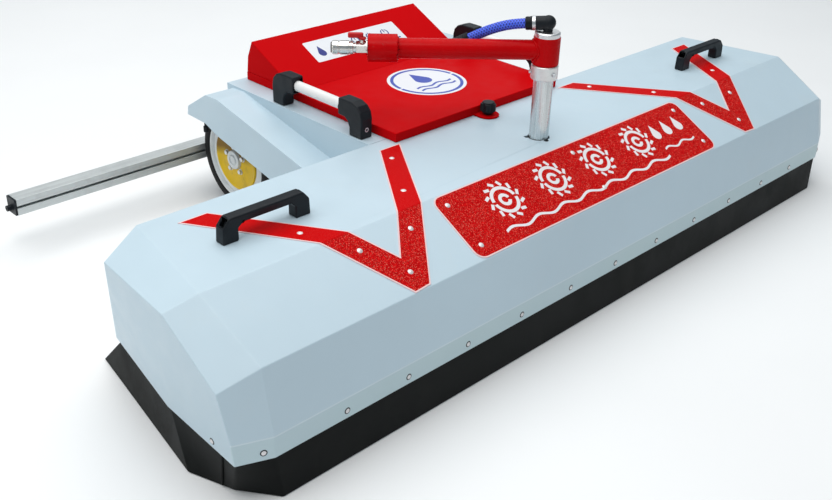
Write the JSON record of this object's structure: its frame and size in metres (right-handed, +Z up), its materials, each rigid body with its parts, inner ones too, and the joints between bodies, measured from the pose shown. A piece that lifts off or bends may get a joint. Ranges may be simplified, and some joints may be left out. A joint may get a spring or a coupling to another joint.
{
  "type": "robotic floor cleaner",
  "caption": "Wide wheeled floor-washing robot: riveted hood over rotary brushes, skirt, lift handles, swivelling red water boom, lidded rear body, rear guide bar.",
  "frame": {"origin": "on the floor, under the centre of the bounding box", "axes": "+X along the washing head towards the machine's right, +Y to the rear, where the guide bar is, +Z up"},
  "size_m": [1.9802, 1.1051, 0.5941],
  "materials": {
    "hood_paint": "satin pale grey-blue powder coat",
    "body_paint": "satin pale grey-blue powder coat",
    "skirt_sheet": "matt black rubber sheet",
    "trim_red": "red sheet with a silver border",
    "zinc": "zinc-plated steel",
    "steel": "bare steel",
    "frame_paint": "matt dark maroon primer",
    "red_paint": "glossy red enamel",
    "black_plastic": "matt black moulded plastic",
    "white_tube": "white enamelled tube",
    "bristle": "nylon bristle in a plastic disc",
    "motor_cast": "cast aluminium housing",
    "battery_case": "moulded plastic case",
    "box_grey": "grey electrical enclosure",
    "tyre_rubber": "black ribbed rubber",
    "rim_white": "pale grey painted rim",
    "disc_yellow": "yellow painted pressing",
    "profile_alu": "anodised extrusion",
    "silver_alu": "machined aluminium",
    "brass_plated": "nickel-plated brass",
    "lever_red": "dipped red grip",
    "hose_blue": "blue braided cover",
    "lid_paint": "glossy red powder coat"
  },
  "bodies": {
    "base": {"axle_bearings": "zinc", "band_rivets": "zinc", "bar_end_cap": "black_plastic", "battery_pack": "battery_case", "body_cover": "body_paint", "brush_motor_1": "motor_cast", "brush_motor_2": "motor_cast", "brush_motor_3": "motor_cast", "brush_motor_4": "motor_cast", "chassis_frame": "frame_paint", "chevron_left": "trim_red", "chevron_right": "trim_red", "control_box": "box_grey", "deck_plate": "steel", "equipment_tray": "steel", "fender_left": "body_paint", "fender_right": "body_paint", "guide_bar": "profile_alu", "handle_screws": "zinc", "head_frame": "frame_paint", "head_hood": "hood_paint", "head_skirt": "skirt_sheet", "hinge_base_leaf": "zinc", "hinge_pin": "zinc", "lift_handle_left": "black_plastic", "lift_handle_right": "black_plastic", "name_plate": "trim_red", "post": "zinc", "side_handle_brackets_left": "black_plastic", "side_handle_brackets_right": "black_plastic", "side_handle_tube_left": "white_tube", "side_handle_tube_right": "white_tube", "spray_pipe": "black_plastic", "swivel_core": "silver_alu", "trim_rivets": "zinc", "wheel_motor_left": "motor_cast", "wheel_motor_right": "motor_cast"},
    "lid": {"lid": "lid_paint", "console": "lid_paint", "hinge_lid_leaf": "zinc"},
    "latch": {"latch_knob": "black_plastic"},
    "boom": {"swivel_knuckle": "red_paint", "knuckle_cap": "silver_alu", "boom_arm": "red_paint", "valve_body": "brass_plated", "arm_elbow": "black_plastic", "top_elbow": "black_plastic", "water_hose": "hose_blue"},
    "inlet_valve": {"valve_lever": "lever_red"},
    "inlet_coupling": {"coupling_sleeve": "brass_plated"},
    "wheel_left": {"tyre_left": "tyre_rubber", "rim_left": "rim_white", "wheel_disc_left": "disc_yellow"},
    "wheel_right": {"tyre_right": "tyre_rubber", "rim_right": "rim_white", "wheel_disc_right": "disc_yellow"},
    "brush_1": {"brush_1": "bristle"},
    "brush_2": {"brush_2": "bristle"},
    "brush_3": {"brush_3": "bristle"},
    "brush_4": {"brush_4": "bristle"}
  },
  "joints": [
    {"name": "lid_hinge", "type": "hinge", "parent": "base", "child": "lid", "pos_m": [0, 0.404, 0.332], "axis": [-1, 0, 0], "range_deg": [0, 14]},
    {"name": "latch_turn", "type": "hinge", "parent": "lid", "child": "latch", "pos_m": [0, -0.162, 0.34], "axis": [0, 0, 1], "range_deg": [0, 90]},
    {"name": "boom_swivel", "type": "hinge", "parent": "base", "child": "boom", "pos_m": [-0.009, -0.319, 0.52], "axis": [0, 0, 1], "continuous": true},
    {"name": "valve_turn", "type": "hinge", "parent": "boom", "child": "inlet_valve", "pos_m": [-0.29437, -0.06205, 0.5404], "axis": [0, 0, 1], "range_deg": [0, 90]},
    {"name": "coupling_slide", "type": "slide", "parent": "boom", "child": "inlet_coupling", "axis": [0.7431, -0.6691, 0], "range_m": [0, 0.005], "stiffness_N_per_m": 600},
    {"name": "wheel_left_spin", "type": "hinge", "parent": "base", "child": "wheel_left", "pos_m": [-0.297, 0.37, 0.135], "axis": [1, 0, 0], "continuous": true},
    {"name": "wheel_right_spin", "type": "hinge", "parent": "base", "child": "wheel_right", "pos_m": [0.297, 0.37, 0.135], "axis": [1, 0, 0], "continuous": true},
    {"name": "brush_1_spin", "type": "hinge", "parent": "base", "child": "brush_1", "pos_m": [-0.693, -0.31, 0.06], "axis": [0, 0, 1], "continuous": true},
    {"name": "brush_2_spin", "type": "hinge", "parent": "base", "child": "brush_2", "pos_m": [-0.231, -0.31, 0.06], "axis": [0, 0, 1], "continuous": true},
    {"name": "brush_3_spin", "type": "hinge", "parent": "base", "child": "brush_3", "pos_m": [0.231, -0.31, 0.06], "axis": [0, 0, 1], "continuous": true},
    {"name": "brush_4_spin", "type": "hinge", "parent": "base", "child": "brush_4", "pos_m": [0.693, -0.31, 0.06], "axis": [0, 0, 1], "continuous": true}
  ]
}
